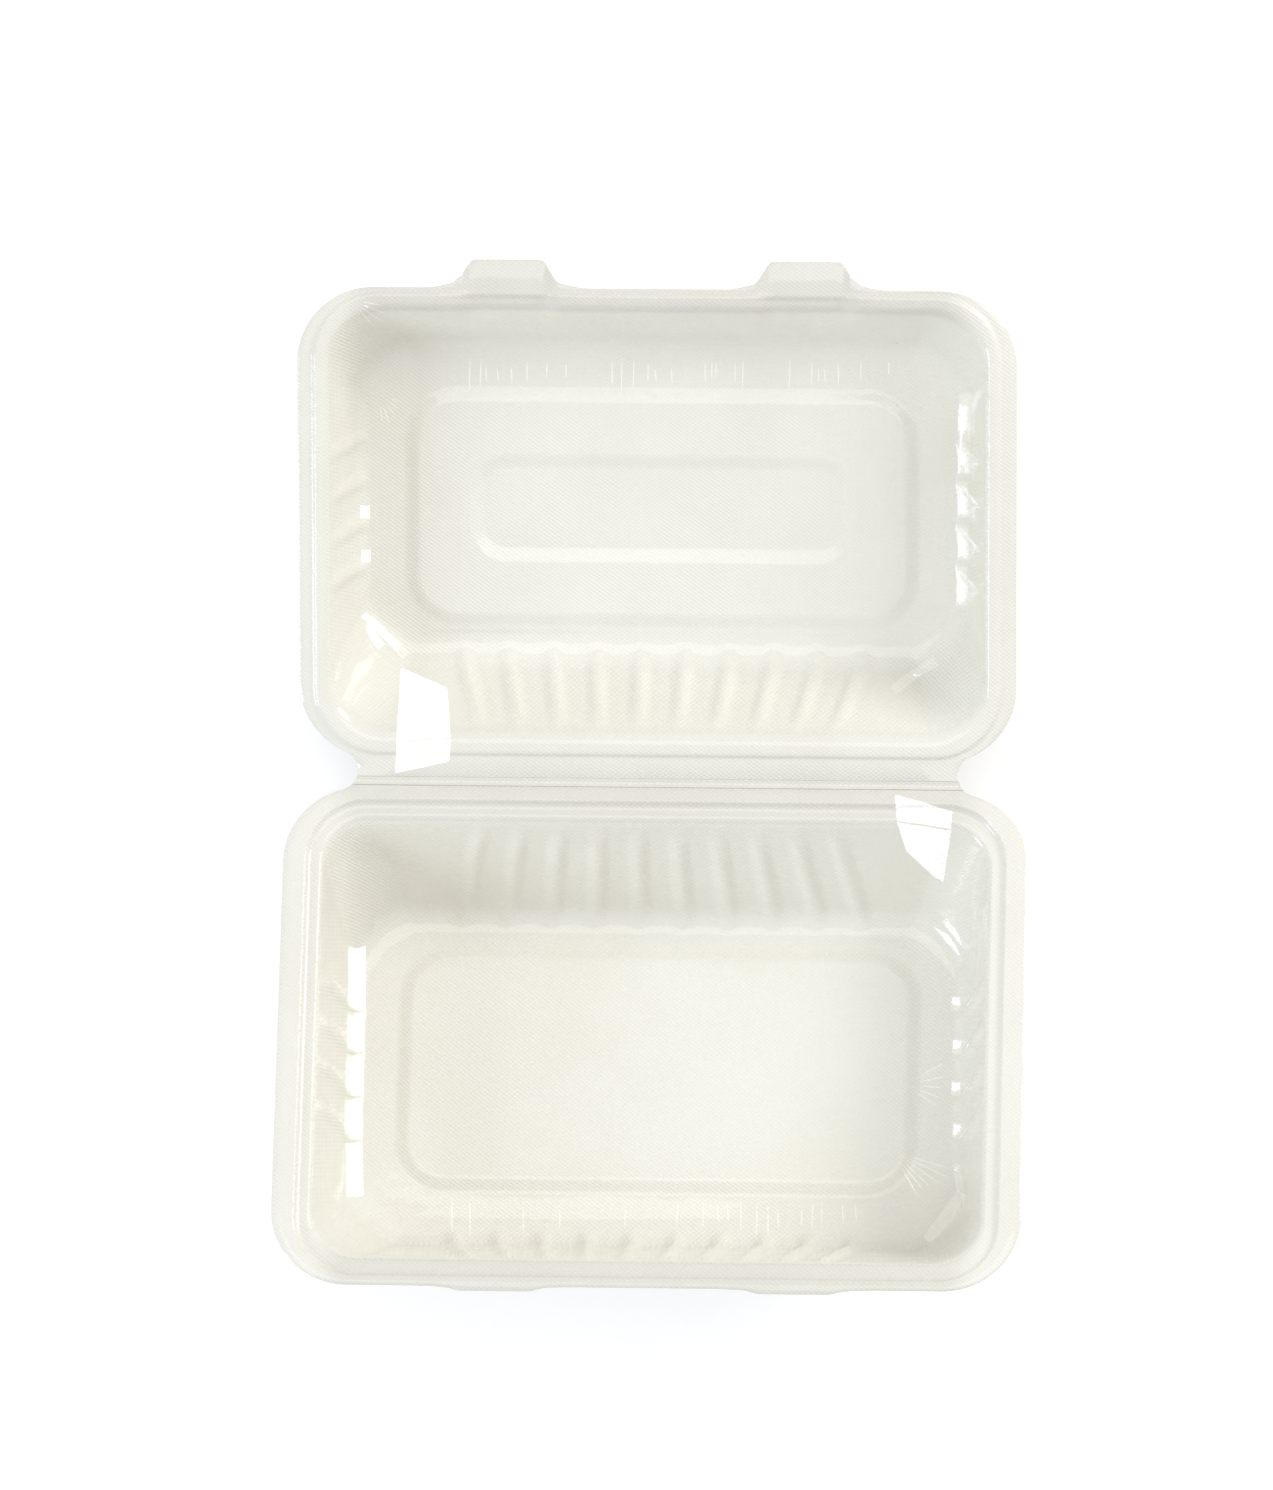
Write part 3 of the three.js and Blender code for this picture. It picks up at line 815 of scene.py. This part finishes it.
def film_object(name, half, points, faces, material, smooth_shade):
    """A piece of film in a half's flat frame, with its faces turned to the open side."""
    points = np.array(points)
    one, two = points[faces[0][1]] - points[faces[0][0]], points[faces[0][2]] - points[faces[0][0]]
    if np.cross(one, two)[2] < 0:
        faces = [face[::-1] for face in faces]
    piece = new_object(name, place(points, half.name), faces, smooth_shade)
    piece.data.materials.append(material)
    piece.visible_shadow = False
    piece.visible_diffuse = False
    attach(piece, half.name)


def film_patch(name, half, pixels, lamp, pleat=None, count=17):
    """Film that leaves the fibre between four pixels, and lies where it mirrors a lamp.

    It bridges the foot of a wall as one facet, or with a pleat's height given, it lies on the
    fibre in fine pleats that all face that way.
    """
    corners = [on_shell(half, pixel) for pixel in pixels]
    mirror = lamp / np.linalg.norm(lamp) + TOWARDS_VIEW
    facing = unturn(mirror / np.linalg.norm(mirror), half.name)
    shares = np.linspace(0, 1, count)
    points = []
    for a in shares:
        for b in shares:
            low, high = lerp(corners[0], corners[1], b), lerp(corners[3], corners[2], b)
            x, v = lerp(low, high, a)[:2]
            points.append((x, v, height_at(half, x, v)))
    points = np.array(points)
    plane = -(facing[0] * points[:, 0] + facing[1] * points[:, 1]) / facing[2]
    if pleat:
        stand = np.mod(plane - points[:, 2], pleat)
    else:
        above = plane + np.percentile(points[:, 2] - plane, FILM_REST)
        above -= max(0, above.max() + SHUT_CLEARANCE)
        from_edge = np.minimum(shares, 1 - shares)
        inside = np.minimum.outer(from_edge, from_edge).ravel()
        stand = np.clip(above - points[:, 2], 0, FILM_LIFT) * smooth(inside / FILM_EDGE)
    points[:, 2] += FILM_GAP + stand
    film_object(name, half, points, grid_faces(count, count, False), film, not pleat)


def streak(start, end, width):
    """The corners of a narrow field round the line between two pixels of the photograph."""
    start, end = np.array(start, dtype=float), np.array(end, dtype=float)
    ahead = (end - start) / np.linalg.norm(end - start)
    side = np.array([-ahead[1], ahead[0]]) * width / 2
    return [start - side, end - side, end + side, start + side]


def creases(name, half, lines, height):
    """Fine raised folds in the film, each from one pixel to another."""
    count = 7
    points, faces = [], []
    for one, two in lines:
        start, end = on_shell(half, one), on_shell(half, two)
        if start is None or end is None:
            continue
        ahead = (end - start)[:2] / np.linalg.norm((end - start)[:2])
        side = np.array([-ahead[1], ahead[0]])
        base = len(points)
        for share in np.linspace(0, 1, count):
            swell = math.sin(math.pi * share) ** 0.5
            for offset, up in ((-0.5, CREASE_FOOT), (0, height * swell), (0.5, CREASE_FOOT)):
                x, v = lerp(start, end, share)[:2] + side * offset * CREASE_WIDTH * swell
                points.append((x, v, height_at(half, x, v) + up))
        faces += [tuple(base + k for k in face) for face in grid_faces(count, 3, False)]
    film_object(name, half, points, faces, crease_film, False)


# Where the film crosses a corner's wall and rim by the fold: corners in the photograph, and lamp
film_patch("lid_corner_film", lid, [(397, 740), (451, 737), (447, 688), (401, 668)],
           SUNSIDE, CORNER_PLEAT, CORNER_COUNT)
film_patch("lid_rim_film", lid, [(395, 773), (449, 761), (451, 739), (397, 742)],
           SUNSIDE, RIM_PLEAT, RIM_COUNT)
film_patch("tray_corner_film", tray, [(897, 823), (951, 831), (943, 882), (907, 852)],
           WINDOW, CORNER_PLEAT, CORNER_COUNT)
film_patch("tray_rim_film", tray, [(895, 795), (952, 812), (951, 829), (897, 821)],
           WINDOW, RIM_PLEAT, RIM_COUNT)

# Where the film bridges the foot of a wall: half, ends and width in the photograph, and lamp
FOOT_FILMS = (
    (lid, (364, 614), (406, 656), 9, SUNSIDE),
    (lid, (893, 690), (936, 661), 10, WINDOW),
    (lid, (965, 394), (964, 474), 12, WINDOW),
    (lid, (963, 482), (963, 518), 11, WINDOW),
    (lid, (963, 526), (963, 560), 11, WINDOW),
    (lid, (962, 567), (961, 606), 11, WINDOW),
    (tray, (944, 920), (968, 948), 7, WINDOW),
    (tray, (960, 1190), (956, 1164), 7, WINDOW),
    (tray, (956, 996), (956, 1010), 10, WINDOW),
    (tray, (957, 1039), (957, 1053), 10, WINDOW),
    (tray, (956, 1081), (956, 1095), 10, WINDOW),
    (tray, (957, 1123), (957, 1137), 10, WINDOW),
)
for number, (half, start, end, width, lamp) in enumerate(FOOT_FILMS):
    film_patch(f"{half.name}_foot_film_{number}", half, streak(start, end, width), lamp)

# Where the film lies in fine pleats along a wall's foot: the same, and how finely each is drawn
PLEATED_FILMS = (
    (tray, (357, 946), (357, 1008), 17, SUNSIDE, 120),
    (tray, (356, 1012), (356, 1050), 17, SUNSIDE, 90),
    (tray, (355, 1054), (355, 1094), 17, SUNSIDE, 90),
    (tray, (354, 1098), (354, 1138), 17, SUNSIDE, 90),
    (tray, (354, 1142), (355, 1196), 16, SUNSIDE, 110),
    (lid, (365, 506), (365, 518), 9, SUNSIDE, 40),
    (lid, (366, 550), (366, 562), 9, SUNSIDE, 40),
    (tray, (927, 1240), (962, 1192), 10, WINDOW, 110),
)
for number, (half, start, end, width, lamp, count) in enumerate(PLEATED_FILMS):
    field = streak(start, end, width)
    film_patch(f"{half.name}_pleated_film_{number}", half, field, lamp, WALL_PLEAT, count)

# Where the creases are: across and down the picture, and for the fans, half, centre, reach and
# degrees
LID_EDGE_CREASES = (470, 481, 486, 497, 511, 527, 547, 566, 612, 622, 634, 648, 655,
                    671, 705, 712, 716, 735, 743, 790, 812, 818, 824, 838, 861, 889)
LID_CREASE_TOP, LID_CREASE_FOOT = 362, 384
TRAY_FRONT_CREASES = (452, 470, 523, 560, 626, 678, 703, 717, 727,
                      741, 757, 768, 778, 802, 813, 822, 842, 855)
TRAY_CREASE_TOP, TRAY_CREASE_FOOT = 1203, 1230
CORNER_FANS = (
    (lid, (378, 392), (14, 34), (25, 40, 55, 70, 82)),
    (lid, (352, 300), (10, 40), (10, 22, 35, 50)),
    (tray, (892, 1150), (16, 66), (18, 26, 35, 44, 52, 61)),
    (tray, (905, 1085), (14, 46), (-30, -12, 4, 20, 33)),
)


def spread(k):
    """A repeatable scatter from -1 to 1 for the k-th crease."""
    return math.sin(12.9 * k + 4.1) * math.cos(7.3 * k)


creases("lid_edge_creases", lid, [
    ((x, LID_CREASE_TOP + 7 * spread(k)), (x + 1.5 * spread(k + 9), LID_CREASE_FOOT + 9 * spread(k + 3)))
    for k, x in enumerate(LID_EDGE_CREASES)], CREASE_HEIGHT)
creases("tray_front_creases", tray, [
    ((x, TRAY_CREASE_TOP + 8 * spread(k)), (x + 2 * spread(k + 5), TRAY_CREASE_FOOT + 10 * spread(k + 2)))
    for k, x in enumerate(TRAY_FRONT_CREASES)], CREASE_HEIGHT)
for number, (half, centre, (start, end), angles) in enumerate(CORNER_FANS):
    lines = []
    for k, degrees in enumerate(angles):
        ahead = np.array([math.cos(math.radians(degrees)), math.sin(math.radians(degrees))])
        reach = lerp(start, end, 0.75 + 0.25 * spread(k + number))
        lines.append((tuple(centre + ahead * start), tuple(centre + ahead * reach)))
    creases(f"{half.name}_corner_creases_{number}", half, lines, FAN_HEIGHT)

scene.view_settings.view_transform = "Standard"
